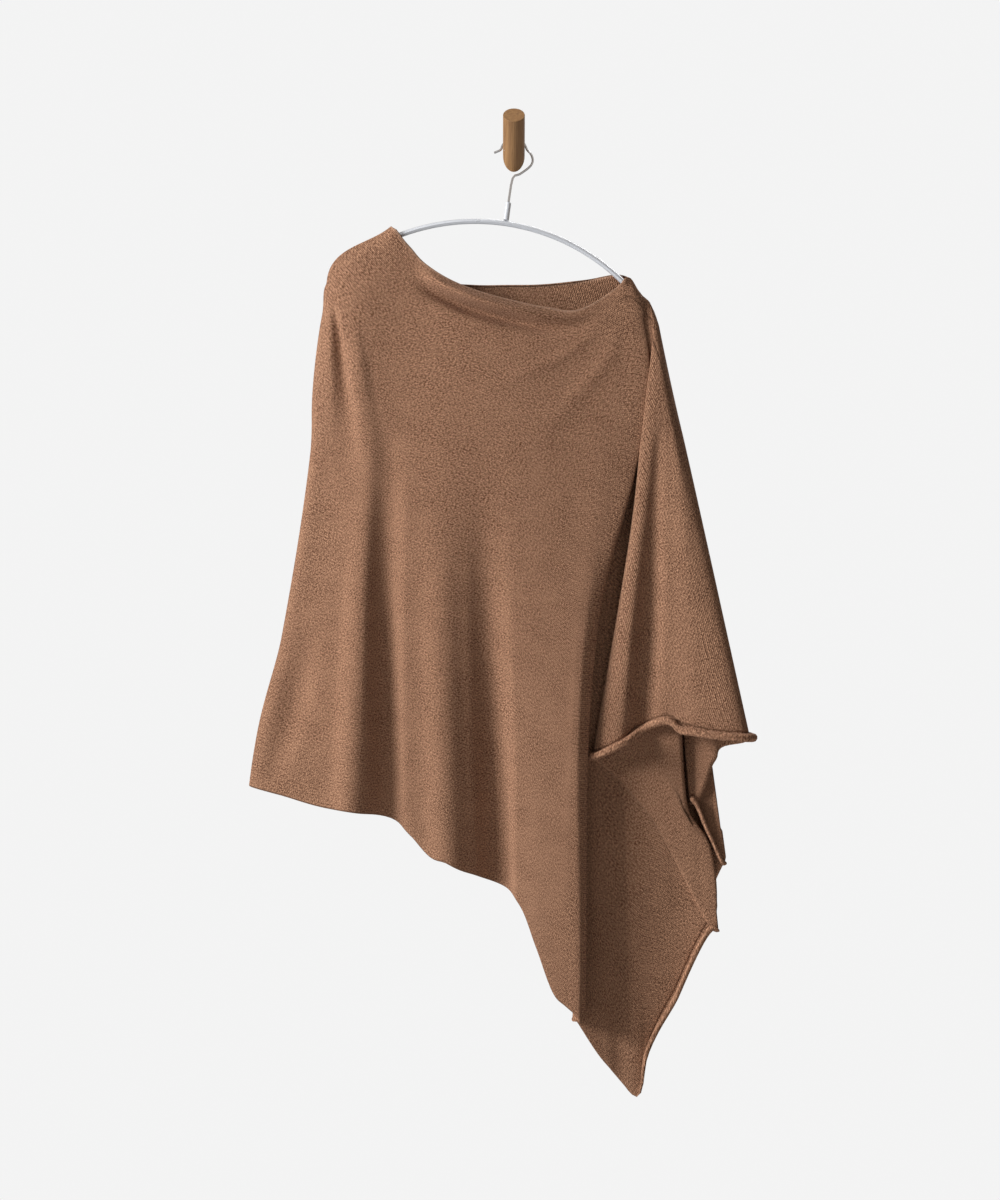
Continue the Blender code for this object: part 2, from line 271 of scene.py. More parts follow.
def knitMaterial(name, reverse):
    material, tree, shader = newMaterial(name, knit["roughness"])
    group = addNode(tree, "ShaderNodeGroup", node_tree=knitGroup(name + " pattern_and_painted_light", reverse))
    tree.links.new(group.outputs["Colour"], shader.inputs["Base Color"])
    relief = {"Height": group.outputs["Height"], "Strength": knit["bumpStrength"], "Distance": knit["bump"]}
    bump = addNode(tree, "ShaderNodeBump", relief)
    tree.links.new(bump.outputs[0], shader.inputs["Normal"])
    shader.inputs["Specular IOR Level"].default_value = knit["specular"]
    shader.inputs["Sheen Weight"].default_value = knit["sheen"]
    shader.inputs["Sheen Roughness"].default_value = knit["sheenRoughness"]
    shader.inputs["Sheen Tint"].default_value = knit["sheenTint"]
    return material


knitRight = knitMaterial("knitRight", False)
knitReverse = knitMaterial("knitReverse", True)

# A guide runs down one fold, from the top edge to the hem or the rolled end. Its places are (x, height,
# depth in front of the wall) in millimetres. Roll is -1 where the cloth turns back at its right, and 1 at
# its left. Arc is how far it bows out at the left shoulder.
guide = namedtuple("guide", "name top shoulder waist hem roll arc", defaults=(0,))
stations = (0.0, 0.15, 0.42, 1.0)  # share of the way down at the top, shoulder, waist and hem

frontGuides = (
    guide("left fold", (-156, -92, 36), (-238, -165, 36), (-259, -383, 36), (-330, -805, 36), 0, 11),
    guide("left side", (-152, -96, 43), (-233, -172, 44), (-253, -386, 43), (-323, -808, 41), 0, 10.5),
    guide("left rise", (-148, -101, 45), (-216, -187, 54), (-233, -392, 49), (-296, -816, 49), 0, 7),
    guide("left bulge", (-139, -113, 46), (-192, -210, 60), (-207, -402, 57), (-248, -830, 59), 0, 4),
    guide("bulge side", (-130, -123, 47), (-170, -225, 60), (-182, -410, 64), (-200, -838, 70), 0),
    guide("deep trough", (-118, -137, 49), (-147, -238, 61), (-159, -417, 66), (-159, -844, 53), 0),
    guide("middle ridge", (-99, -151, 53), (-119, -248, 64), (-132, -428, 69), (-126, -872, 60), 0),
    guide("middle", (-71, -166, 57), (-81, -261, 68), (-87, -440, 74), (-77, -906, 70), 0),
    guide("soft trough", (-38, -178, 59), (-40, -273, 70), (-40, -453, 73), (-28, -925, 49), 0),
    guide("right ridge", (-1, -188, 60), (-3, -283, 71), (3, -466, 76), (5, -953, 59), 0),
    guide("right side", (42, -197, 59), (39, -293, 71), (43, -497, 78), (27, -1007, 73), 0),
    guide("by the edge", (85, -199, 56), (86, -296, 68), (76, -529, 79), (49, -1065, 82), 0),
    guide("neck end", (131, -170, 47), (132, -296, 65), (90, -557, 80), (66, -1082, 85), 0),
    guide("neck corner", (145, -157, 49), (148, -299, 64), (97, -562, 79), (80, -1094, 86), 0),
    guide("body edge", (164, -181, 46), (168, -325, 63), (112, -567, 69), (89, -1102, 78), -1),
    guide("tuck", (166, -183, 46), (156, -329, 54), (94, -581, 63), (76, -1101, 67), 1),
    guide("behind left", (168, -184.5, 45), (166, -331, 45), (116, -595, 52), (109, -1147, 53), 0),
    guide("corner", (170, -186, 45), (177, -334, 43), (162, -602, 46), (156, -1189, 47), 0),
    guide("behind right", (172, -188, 45), (183, -329, 43), (187, -574, 45), (205, -1077, 43), 0),
    guide("right turn", (174, -191.5, 46), (185, -314, 48), (199, -531, 50), (243, -976, 47), -1),
    guide("inside layer", (176, -196, 46), (180, -304, 54), (170, -491, 56), (175, -845, 46.5), 0),
    guide("sleeve fold", (178, -200, 46), (167, -290, 66), (152, -441, 65), (98, -770, 60), 1),
    guide("sleeve left", (179.5, -204, 46), (177, -288, 67.5), (168, -438, 71), (128, -758, 71), 0),
    guide("sleeve trough", (181, -208, 46), (183.5, -286, 67), (180, -433, 68), (161, -737, 62.5), 0),
    guide("sleeve ridge", (182.2, -212, 45), (189, -285, 66), (196, -428, 71), (195, -725, 64), 0),
    guide("sleeve right", (183.3, -215, 42), (193.5, -284, 62), (213, -425, 74), (238, -741, 75), 0),
    guide("by the seam", (183.9, -217, 39.5), (197.2, -283.4, 49), (227, -424.2, 65), (293, -746.4, 76), 0),
    guide("seam", (184.3, -219, 36), (197.5, -283, 36), (228, -424, 36), (297, -746, 36), 0),
)
backGuides = (
    guide("left fold", (-156, -92, 36), (-238, -165, 36), (-259, -383, 36), (-330, -805, 36), 0, 11),
    guide("left side", (-152, -97, 29), (-233, -173, 27), (-253, -387, 23), (-323, -808, 22), 0, 10.5),
    guide("left back", (-142, -116, 27), (-210, -200, 15), (-226, -398, 11), (-290, -813, 10), 0, 5),
    guide("back ridge", (-118, -145, 27), (-160, -236, 17), (-180, -415, 17), (-215, -828, 20), 0),
    guide("back trough", (-86, -164, 27), (-108, -262, 11), (-128, -440, 8), (-154, -835, 8), 0),
    guide("middle ridge", (-50, -168, 27), (-62, -272, 15), (-84, -450, 17), (-110, -866, 22), 0),
    guide("middle trough", (-10, -168, 27), (-14, -276, 11), (-30, -460, 8), (-54, -902, 8), 0),
    guide("right ridge", (40, -167, 27), (42, -282, 15), (34, -484, 17), (-4, -932, 22), 0),
    guide("right trough", (92, -161, 28), (92, -290, 11), (70, -520, 8), (30, -1010, 9), 0),
    guide("neck end", (131, -153, 27), (140, -296, 13), (112, -548, 14), (62, -1072, 16), 0),
    guide("neck corner", (145, -157, 25), (150, -306, 12), (124, -562, 11), (86, -1100, 11), 0),
    guide("behind body", (154, -172, 27), (161, -318, 11), (138, -580, 8.5), (112, -1134, 8), 0),
    guide("corner", (163, -180, 27), (173, -324, 10), (164, -592, 8.5), (150, -1173, 8), 0),
    guide("behind right", (170, -186, 27), (182, -312, 10), (190, -560, 8.5), (214, -1020, 9), 0),
    guide("right turn", (174, -192, 27), (188, -304, 14.5), (215, -500, 16), (269, -903, 36.5), -1),
    guide("outside layer", (177.5, -199, 27), (184.5, -300, 19), (206, -490, 22), (247, -868, 36), 0),
    guide("left turn", (180.3, -206, 28), (182, -292, 23.5), (195, -468, 27), (224, -827, 36.5), 1),
    guide("inside layer", (182.2, -212, 29), (187, -288, 28), (205, -448, 31), (240, -808, 40), 0),
    guide("end", (183.4, -216, 32), (192, -285, 31.5), (218, -434, 33), (257, -769, 42), 0),
    guide("seam", (184.3, -219, 36), (197.5, -283, 36), (228, -424, 36), (297, -746, 36), 0),
)

# A crease is a path of (share of the way down, guide number, millimetres outwards, half width in
# millimetres): a ridge where it goes outwards, and a trough where it goes inwards.
crease = namedtuple("crease", "name path")
# A pull moves the cloth round one place by (x, height, depth) millimetres. It reaches left and right by
# guide numbers, and above and below by shares of the way down.
pull = namedtuple("pull", "name at down left right above below move")

leftPulls = (
    pull("shoulder notch", 0, 0.21, 1, 2.6, 0.06, 0.15, (9.5, 0, 0)),
    pull("lower left", 0, 0.91, 1, 2.5, 0.18, 0.28, (-8.5, 0, 0)),
)
frontPulls = leftPulls + (
    pull("right turn", 19, 0.97, 1.05, 1.1, 0.14, 0.5, (17, -12, 0)),
    pull("above the turn", 19, 0.79, 1.0, 1.0, 0.25, 0.08, (-9, 0, 0)),
    pull("second layer's side", 19, 0.87, 1.05, 1.1, 0.055, 0.1, (11, 0, 0)),
    pull("under the shoulder", 17.5, 0.07, 3.6, 3.6, 0.065, 0.12, (0, 0, 9)),
    pull("body edge at the shoulder", 13.9, 0.09, 1.4, 1.1, 0.08, 0.13, (8, 0, 1)),
    pull("beside the tip", 17.45, 1.0, 0.45, 0.6, 0.3, 0.3, (-9, 7, 0)),
    pull("before the tip", 16.5, 1.0, 0.45, 0.45, 0.25, 0.3, (-1, 7, 0)),
    pull("tip", 17.0, 1.0, 0.35, 0.35, 0.1, 0.3, (1, -7, 0)),
    pull("hem tuck", 15.45, 1.0, 0.5, 0.55, 0.12, 0.3, (-5, 5, 0)),
    pull("sleeve notch", 24.38, 1.0, 0.3, 0.5, 0.035, 0.3, (0, -6, -1)),
    pull("second layer's edge", 19, 0.84, 1.3, 1.0, 0.3, 0.3, (0, 0, -4)),
    pull("hem step", 6.4, 1.0, 0.5, 0.45, 0.12, 0.3, (0, -7, 0)),
)
backPulls = leftPulls + (
    pull("short end", 18.45, 1.0, 0.5, 0.5, 0.12, 0.3, (-9, 4, 0)),
)
frontCreases = (
    crease("shoulder trough", (
        (0.165, 1.5, 0, 10), (0.2, 2.05, -7, 15), (0.26, 2.5, -9, 19),
        (0.34, 2.7, -5, 24), (0.45, 2.8, 0, 28))),
    crease("shoulder ridge", (
        (0.16, 2.8, 0, 14), (0.22, 3.3, 3, 18),
        (0.3, 3.6, 3, 22), (0.42, 3.8, 0, 26))),
    crease("lower left", ((0.7, 2.2, 0, 20), (0.83, 2.0, -5, 28), (0.92, 1.8, -4, 24), (1.0, 1.6, 0, 18))),
    crease("left bulge", ((0.45, 3.8, 0, 22), (0.7, 3.8, 4, 26), (1.0, 3.8, 5, 26))),
    crease("deep trough", (
        (0.3, 5.0, 0, 24), (0.45, 5.0, -6, 28),
        (0.7, 4.98, -10, 30), (1.0, 4.95, -9, 30))),
    crease("middle ridge", ((0.45, 6.9, 0, 28), (0.7, 6.85, 4, 32), (1.0, 6.8, 4, 32))),
    crease("soft trough", (
        (0.4, 8.1, 0, 28), (0.6, 8.15, -6, 32),
        (0.8, 8.2, -11, 34), (1.0, 8.2, -11, 34))),
    crease("long drape", (
        (0.03, 11.7, 0, 14), (0.09, 10.6, 1.6, 20),
        (0.15, 9.2, 1.2, 26), (0.24, 7.4, 0, 30))),
    crease("short drape", (
        (0.05, 12.3, 0, 12), (0.12, 11.5, 1.8, 18),
        (0.2, 10.4, 1.2, 24), (0.3, 9.2, 0, 28))),
    crease("third layer trough", (
        (0.3, 16.3, 0, 10), (0.6, 16.4, -3, 24),
        (0.85, 16.5, -3, 28), (1.0, 16.6, -2, 24))),
    crease("second layer", ((0.5, 19.6, 0, 12), (0.8, 19.45, 0.8, 26), (1.0, 19.5, 0.6, 26))),
    crease("sleeve trough", (
        (0.28, 22.8, 0, 12), (0.46, 22.7, -3, 18),
        (0.7, 22.9, -8, 28), (1.0, 23.0, -8, 29))),
)
backCreases = (
    crease("left trough", ((0.2, 2.1, 0, 18), (0.5, 2.1, 4, 26), (1.0, 2.1, 4, 28))),
    crease("left ridge", (
        (0.1, 3.0, 0, 16), (0.42, 3.0, -12, 22),
        (0.75, 3.05, -13, 24), (1.0, 3.1, -12, 24))),
    crease("second trough", ((0.15, 4.0, 0, 16), (0.5, 4.0, 3.5, 22), (1.0, 4.0, 3.5, 24))),
    crease("second ridge", (
        (0.08, 5.0, 0, 16), (0.4, 5.05, -13, 22),
        (0.8, 5.1, -14, 24), (1.0, 5.1, -13, 24))),
    crease("middle trough", ((0.2, 6.0, 0, 16), (0.5, 6.0, 3.5, 22), (1.0, 6.0, 3.5, 24))),
    crease("middle ridge", (
        (0.12, 7.1, 0, 18), (0.45, 7.0, -12, 24),
        (0.8, 6.95, -13, 24), (1.0, 6.9, -12, 24))),
    crease("right trough", ((0.2, 8.1, 0, 16), (0.5, 8.1, 4, 22), (1.0, 8.1, 4, 22))),
    crease("right ridge", (
        (0.15, 9.1, 0, 14), (0.5, 9.0, -13, 22),
        (0.8, 9.0, -14, 22), (1.0, 9.0, -12, 20))),
    crease("first flute", ((0.2, 10.6, 0, 10), (0.55, 10.6, -11, 18), (1.0, 10.7, -13, 18))),
    crease("second flute", ((0.22, 11.5, 0, 10), (0.6, 11.5, -13, 20), (1.0, 11.45, -14, 20))),
    crease("third flute", ((0.22, 12.4, 0, 10), (0.6, 12.4, -12, 20), (1.0, 12.5, -12, 20))),
    crease("last flute", ((0.3, 13.2, 0, 10), (0.7, 13.2, -10, 18), (1.0, 13.3, -10, 18))),
)

# lengths in millimetres, apart from the flat knitting's in metres; a place across is a guide number
cloth = {
    "wall": 0.0017,  # the knitting's thickness, in metres
    "width": 0.75,
    "length": 0.95,
    "seamStart": 0.42,  # along the flat knitting, where the top edge ends at the rolled end
    "seamDepth": 36,  # where the front and the back meet, in front of the wall
    "crest": 0.005,  # share of the way down in which the cloth leaves the seam
    "columns": 250,
    "rows": 168,
    "crowding": 0.35,  # of the rows towards the top edge
    "leastGap": 3,
    "easeStarts": 0.04,  # between these shares of the way down, the folds are eased into the shoulder
    "easeEnds": 0.3,
    "easePasses": 70,
    "fabricPasses": 60,
}
# the round of a fold where the cloth turns back on itself
turned = {
    "bowTop": 1.5,
    "bowFoot": 9.0,
    "deepest": 8.0,
    "rise": 0.6,
    "reach": 0.3,
    "starts": 0.03,
    "grows": 0.15,
}
# the roll that the front makes below the neck
cowl = {
    "out": 17.0,
    "middle": 7.5,
    "left": 2.9,
    "right": 4.2,
    "ridge": 0.017,
    "hollow": 0.041,
    "hollowShare": 0.9,
    "height": 0.012,
}
# how far the turned layers of the back may stand in front of the seam
backAllows = {"out": 12, "starts": 0.3, "ends": 0.9, "middle": 17, "reach": 2.3}
# the knitting's own curl at its edges
curls = {
    "endRadius": 4.2,
    "hemRadius": 2.4,
    "neckRadius": 2.2,
    "endTurn": math.radians(330),
    "hemTurn": math.radians(110),
    "neckTurn": math.radians(160),
    "leastRadius": 0.25,  # share that is left at the corner, where the curl changes sides
    "leastTurn": 0.15,
    "tightens": 0.18,
    "footSteps": 9,
    "neckSteps": 6,
    "footFabric": 0.0022,
    "neckFabric": (0.006, 0.001),
    "drawnFrom": 0.9,
    "drawnUp": 1.2,
    "cornerChanges": (0.5, 0.4),  # guides before and after the corner, in which the curl changes sides
    "neckStarts": (0.0, 2.0),  # guide numbers between which the neck's curl grows
    "neckEnds": (1.5, 0.2),  # guides before and after the neck's end, in which it fades
}
leftBow = {"scale": 27 / 4, "x": -0.68, "height": 0.73}
tiny = 0.01
front = {
    "side": 1,
    "guides": frontGuides,
    "creases": frontCreases,
    "pulls": frontPulls,
    "neckGuide": 12,
    "cornerGuide": 17,
    "smallCurls": ((14, 0.7, 0.4), (19.0, 0.6, 0.5), (20.0, 0.95, 0.15)),  # guide number, reach, least share
}
back = {
    "side": -1,
    "guides": backGuides,
    "creases": backCreases,
    "pulls": backPulls,
    "neckGuide": 9,
    "cornerGuide": 12,
    "smallCurls": ((14, 0.5, 0.5),),
}


# smooth values at places between stops, through every value
def through(stops, values, places):
    stops = np.asarray(stops, float)
    values = np.asarray(values, float)
    gaps = np.diff(stops)
    shape = (-1,) + (1,) * (values.ndim - 1)
    steps = np.diff(values, axis=0) / gaps.reshape(shape)
    before = gaps[:-1].reshape(shape)
    after = gaps[1:].reshape(shape)
    inner = (steps[:-1] * after + steps[1:] * before) / (before + after)
    slopes = np.concatenate([steps[:1], inner, steps[-1:]])
    index = np.clip(np.searchsorted(stops, places, side="right") - 1, 0, len(stops) - 2)
    length = gaps[index].reshape(shape)
    share = ((np.asarray(places) - stops[index]) / gaps[index]).reshape(shape)
    rise = values[index + 1] - values[index]
    start = slopes[index] * length
    end = slopes[index + 1] * length
    bend = 3 * rise - 2 * start - end + share * (start + end - 2 * rise)
    return values[index] + share * (start + share * bend)


def smoothStep(value, low, high):
    share = np.clip((value - low) / (high - low), 0, 1)
    return share * share * (3 - 2 * share)


def hump(offset):
    return np.clip(1 - offset * offset, 0, 1) ** 2


# the guides' places at each row: rows, guides and (x, height, depth)
def guideRows(panel, down):
    columns = []
    for line in panel["guides"]:
        places = through(stations, [line.top, line.shoulder, line.waist, line.hem], down)
        share = np.clip(down / stations[1], 0, 1)
        bow = line.arc * leftBow["scale"] * share * share * (1 - share)
        places[:, 0] += leftBow["x"] * bow
        places[:, 1] += leftBow["height"] * bow
        columns.append(places)
    return np.stack(columns, axis=1)


# the guides and the places beside each turn, for every row
def controlRows(panel, down):
    rows = guideRows(panel, down)
    share = smoothStep(down, turned["starts"], turned["starts"] + turned["grows"])[:, None]
    columns = []
    marks = []
    for index, line in enumerate(panel["guides"]):
        place = rows[:, index]
        if not line.roll:
            columns.append(place)
            marks.append(index)
            continue
        near = rows[:, index - 1]
        far = rows[:, index + 1]
        bow = line.roll * (turned["bowTop"] + (turned["bowFoot"] - turned["bowTop"]) * down) / 2
        smallest = np.minimum(abs(near[:, 2] - place[:, 2]), abs(far[:, 2] - place[:, 2]))
        rise = turned["rise"] * np.minimum(smallest, turned["deepest"])
        reach = turned["reach"]
        for beside, mark in ((near, index - reach), (place, index), (far, index + reach)):
            if beside is place:
                columns.append(place)
            else:
                sign = np.sign(beside[:, 2] - place[:, 2])
                rounded = np.stack([bow, 0 * bow, rise * sign], axis=1)
                columns.append(place + (beside - place) * reach * (1 - share) + rounded * share)
            marks.append(mark)
    return np.stack(columns, axis=1), marks


# the guides made into a surface, with the folds eased into the shoulder, and each column's guide number
def plainSurface(panel, down):
    controls, marks = controlRows(panel, down)
    middle = controlRows(panel, np.array([0.5]))[0][0]
    gaps = np.linalg.norm(np.diff(middle, axis=0), axis=1)
    stops = np.concatenate([[0], np.cumsum(np.sqrt(np.maximum(gaps, cloth["leastGap"])))])
    across = np.linspace(0, stops[-1], cloth["columns"] + 1)
    grid = through(stops, controls.transpose(1, 0, 2), across).transpose(1, 0, 2)
    number = np.interp(across, stops, marks)
    passes = cloth["easePasses"] * np.minimum(down / cloth["easeStarts"], 1 - down / cloth["easeEnds"])
    for turn in range(cloth["easePasses"]):
        rows = passes > turn
        inner = grid[rows]
        inner[:, 1:-1] = inner[:, 1:-1] / 2 + (inner[:, 2:] + inner[:, :-2]) / 4
        grid[rows] = inner
    return grid, number


# a ridge below the neck with a hollow under it
def cowlDepth(number, down):
    reach = np.where(number < cowl["middle"], cowl["left"], cowl["right"])
    out = hump((number - cowl["middle"]) / reach)[None, :] * cowl["out"]
    ridge = np.exp(-((down - cowl["ridge"]) / cowl["height"]) ** 2)
    hollow = np.exp(-((down - cowl["hollow"]) / cowl["height"]) ** 2)
    return out * (ridge - cowl["hollowShare"] * hollow)[:, None]


# places in millimetres, and the guide number of each column
def surfacePlaces(panel, down):
    grid, number = plainSurface(panel, down)
    for tug in panel["pulls"]:
        sideways = (number - tug.at) / np.where(number < tug.at, tug.left, tug.right)
        downwards = (down - tug.down) / np.where(down < tug.down, tug.above, tug.below)
        share = hump(downwards)[:, None] * hump(sideways)[None, :]
        grid += share[:, :, None] * np.array(tug.move)
    grid = creased(panel, grid, number, down)
    if panel["side"] > 0:
        grid[:, :, 2] += cowlDepth(number, down)
    seam = cloth["seamDepth"]
    closed = np.clip(number - panel["neckGuide"], 0, 1) ** 3
    rise = 1 - closed[None, :] * np.exp(-down / cloth["crest"])[:, None]
    grid[:, :, 2] = seam + (grid[:, :, 2] - seam) * rise
    if panel["side"] > 0:
        grid[:, :, 2] = np.maximum(grid[:, :, 2], seam)
    else:
        lower = smoothStep(down, backAllows["starts"], backAllows["ends"])
        turns = hump((number - backAllows["middle"]) / backAllows["reach"])
        forward = backAllows["out"] * lower[:, None] * turns[None, :]
        grid[:, :, 2] = np.minimum(grid[:, :, 2], seam + forward)
    return grid, number


# soft troughs and ridges, each moved along the way that the cloth faces
def creased(panel, grid, number, down):
    normals = gridNormals(grid, panel["side"])[0]
    runs = np.linalg.norm(np.diff(grid, axis=1), axis=2)
    runs = np.concatenate([np.zeros((len(down), 1)), np.cumsum(runs, axis=1)], axis=1)
    for fold in panel["creases"]:
        stops = [place[0] for place in fold.path]
        values = through(stops, [place[1:] for place in fold.path], np.clip(down, stops[0], stops[-1]))
        for row in np.nonzero((down >= stops[0]) & (down <= stops[-1] + 1e-9))[0]:
            at, out, wide = values[row]
            offset = (runs[row] - np.interp(at, number, runs[row])) / wide
            grid[row] += (out * hump(offset))[:, None] * normals[row]
    return grid


# where each place lies on the flat knitting, in metres: along its length and across its width
def fabricPlaces(panel, grid, number):
    top = np.linalg.norm(np.diff(grid[0], axis=0), axis=1)
    foot = np.linalg.norm(np.diff(grid[-1], axis=0), axis=1)
    topRun = np.concatenate([[0], np.cumsum(top)])
    footRun = np.concatenate([[0], np.cumsum(foot)])
    cornerRun = np.interp(panel["cornerGuide"], number, footRun)
    topAlong = cloth["seamStart"] * topRun / topRun[-1]
    footAlong = cloth["length"] * np.minimum(footRun / cornerRun, 1)
    footAcross = cloth["width"] * np.clip((footRun[-1] - footRun) / (footRun[-1] - cornerRun), 0, 1)
    lengths = np.linalg.norm(np.diff(grid, axis=0), axis=2)
    run = np.concatenate([np.zeros((1, grid.shape[1])), np.cumsum(lengths, axis=0)])
    share = run / run[-1]
    along = topAlong + (footAlong - topAlong) * share
    fabric = np.stack([along, footAcross * share], axis=2)
    for turn in range(cloth["fabricPasses"]):
        fabric[:, 1:-1] = fabric[:, 1:-1] / 2 + (fabric[:, 2:] + fabric[:, :-2]) / 4
    return fabric


def unitVectors(vectors):
    return vectors / np.maximum(np.linalg.norm(vectors, axis=-1, keepdims=True), 1e-9)


# the way that each place faces, and the way down the cloth from it
def gridNormals(grid, side):
    downwards = np.gradient(grid, axis=0)
    normals = unitVectors(np.cross(np.gradient(grid, axis=1), downwards))
    if (normals[:, :, 2].mean() > 0) != (side > 0):
        normals = -normals
    return normals, unitVectors(downwards)


# rows that curl an edge of the knitting over, first onward past it and then out
def edgeCurl(place, out, onward, radius, turn, steps):
    rows = []
    for step in range(1, steps + 1):
        angle = turn * step / steps
        shrink = (radius * (1 - curls["tightens"] * step / steps))[:, None]
        rows.append(place + shrink * (np.sin(angle)[:, None] * onward + (1 - np.cos(angle))[:, None] * out))
    return np.array(rows)


# radius, turn and side of the foot's curl: inwards along the hem, outwards along the rolled end
def footCurls(panel, number):
    before, after = curls["cornerChanges"]
    past = smoothStep(number, panel["cornerGuide"] - before, panel["cornerGuide"] + after)
    onEnd = past > 0.5
    clear = abs(2 * past - 1)
    radius = np.where(onEnd, curls["endRadius"], curls["hemRadius"])
    radius = radius * (curls["leastRadius"] + (1 - curls["leastRadius"]) * clear)
    turn = np.where(onEnd, curls["endTurn"], curls["hemTurn"])
    turn = turn * (curls["leastTurn"] + (1 - curls["leastTurn"]) * clear)
    for at, wide, least in panel["smallCurls"]:
        less = 1 - (1 - least) * hump((number - at) / wide)
        radius = radius * less
        turn = turn * less
    return radius, turn, np.where(onEnd, 1.0, -1.0)


# a little more of the flat knitting for the curled rows above the top edge and below the foot
def wholeFabric(fabric):
    top = np.repeat(fabric[:1], curls["neckSteps"], axis=0)
    top[:, :, 1] -= np.linspace(*curls["neckFabric"], curls["neckSteps"])[:, None]
    foot = np.repeat(fabric[-1:], curls["footSteps"], axis=0)
    onward = unitVectors(fabric[-1] - fabric[-2])
    steps = np.arange(1, curls["footSteps"] + 1)
    foot = foot + onward[None] * (curls["footFabric"] * steps)[:, None, None]
    return np.concatenate([top, fabric, foot])


def shell(name, panel):
    spread = np.linspace(0, 1, cloth["rows"] + 1)
    down = cloth["crowding"] * spread ** 3 + (1 - cloth["crowding"]) * spread
    grid, number = surfacePlaces(panel, down)
    fabric = fabricPlaces(panel, grid, number)
    normals, downwards = gridNormals(grid, panel["side"])
    radius, turn, facing = footCurls(panel, number)
    # the foot is drawn up, so that the curl hangs about where the edge was
    drawn = (radius + curls["drawnUp"])[:, None] * downwards[-1]
    grid = grid - smoothStep(down, curls["drawnFrom"], 1.0)[:, None, None] * drawn[None]
    foot = edgeCurl(grid[-1], normals[-1] * facing[:, None], downwards[-1], radius, turn, curls["footSteps"])
    before, after = curls["neckEnds"]
    openNeck = 1 - smoothStep(number, panel["neckGuide"] - before, panel["neckGuide"] + after)
    openNeck *= smoothStep(number, *curls["neckStarts"])
    radius = curls["neckRadius"] * openNeck + tiny
    turn = curls["neckTurn"] * openNeck + tiny
    neck = edgeCurl(grid[0], -normals[0], -downwards[0], radius, turn, curls["neckSteps"])
    whole = np.concatenate([neck[::-1], grid, foot])
    return meshFromGrid(name, whole, wholeFabric(fabric), panel["side"])


def meshFromGrid(name, grid, fabric, side):
    rows, columns = grid.shape[:2]
    spots = grid.reshape(-1, 3)
    points = np.stack([spots[:, 0], -spots[:, 2], spots[:, 1]], axis=1) * mm
    corner = (np.arange(rows - 1)[:, None] * columns + np.arange(columns - 1)[None, :]).reshape(-1)
    faces = np.stack([corner, corner + columns, corner + columns + 1, corner + 1], axis=1)
    if side < 0:
        faces = faces[:, ::-1]
    mesh = bpy.data.meshes.new(name)
    mesh.from_pydata(points.tolist(), [], faces.tolist())
    layer = mesh.uv_layers.new(name="cloth")
    flat = fabric.reshape(-1, 2)
    layer.data.foreach_set("uv", flat[faces.reshape(-1)].astype(np.float32).reshape(-1))
    mesh.materials.append(knitRight)
    mesh.materials.append(knitReverse)
    mesh.polygons.foreach_set("use_smooth", [True] * len(mesh.polygons))
    item = bpy.data.objects.new(name, mesh)
    looks.objects.link(item)
    wall = item.modifiers.new("wall", "SOLIDIFY")
    wall.thickness = cloth["wall"]
    wall.offset = -1
    wall.material_offset = 1
    wall.material_offset_rim = 1
    bpy.ops.object.select_all(action="DESELECT")
    bpy.context.view_layer.objects.active = item
    item.select_set(True)
    bpy.ops.object.modifier_apply(modifier="wall")
    return item


frontCloth = shell("frontCloth", front)
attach(frontCloth, "root")
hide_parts("front_panel")
print("front cloth done")

backCloth = shell("backCloth", back)
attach(backCloth, "root")
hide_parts("back_panel")
print("back cloth done")

# the hanger, its hook and the peg keep their solids and get their own finishes
coats = {
    "satinWhite": {
        "metallic": 0.2,
        "speckNoise": (90.0, 3.0),  # scale and detail
        "dark": (0.62, 0.65, 0.7),
        "light": (0.68, 0.71, 0.76),
        "roughness": (0.22, 0.4),
    },
    "chromeWire": {
        "metallic": 1.0,
        "speckNoise": (420.0, 3.0),
        "dark": (0.50, 0.51, 0.53),
        "light": (0.66, 0.67, 0.69),
        "roughness": (0.08, 0.26),
    },
}
wood = {
    "lean": math.radians(-43),  # of the peg's grain
    "grainScale": (260.0, 260.0, 14.0),
    "grainNoise": (1.0, 5.0, 0.6),
    "grainRange": (0.3, 0.7),
    "ringPlace": (0.02, 0.01, 0.0),
    "ringScale": (90.0, 90.0, 6.0),
    "ringRange": (0.35, 0.65),
    "ringShare": 0.5,
    "dark": (0.20, 0.095, 0.032),
    "light": (0.40, 0.22, 0.088),
    "ringColour": (0.27, 0.13, 0.045),
    "roughness": 0.5,
    "bumpStrength": 0.3,
    "bump": 0.0004,
}


def smoothCoat(name):
    coat = coats[name]
    material, tree, shader = newMaterial(name, coat["roughness"][0], coat["metallic"])
    place = addNode(tree, "ShaderNodeTexCoord").outputs["Object"]
    speck = noiseNode(tree, place, *coat["speckNoise"]).outputs["Fac"]
    tree.links.new(mixColour(tree, speck, coat["dark"], coat["light"]), shader.inputs["Base Color"])
    tree.links.new(rangeNode(tree, speck, 0.0, 1.0, *coat["roughness"]), shader.inputs["Roughness"])
    return material


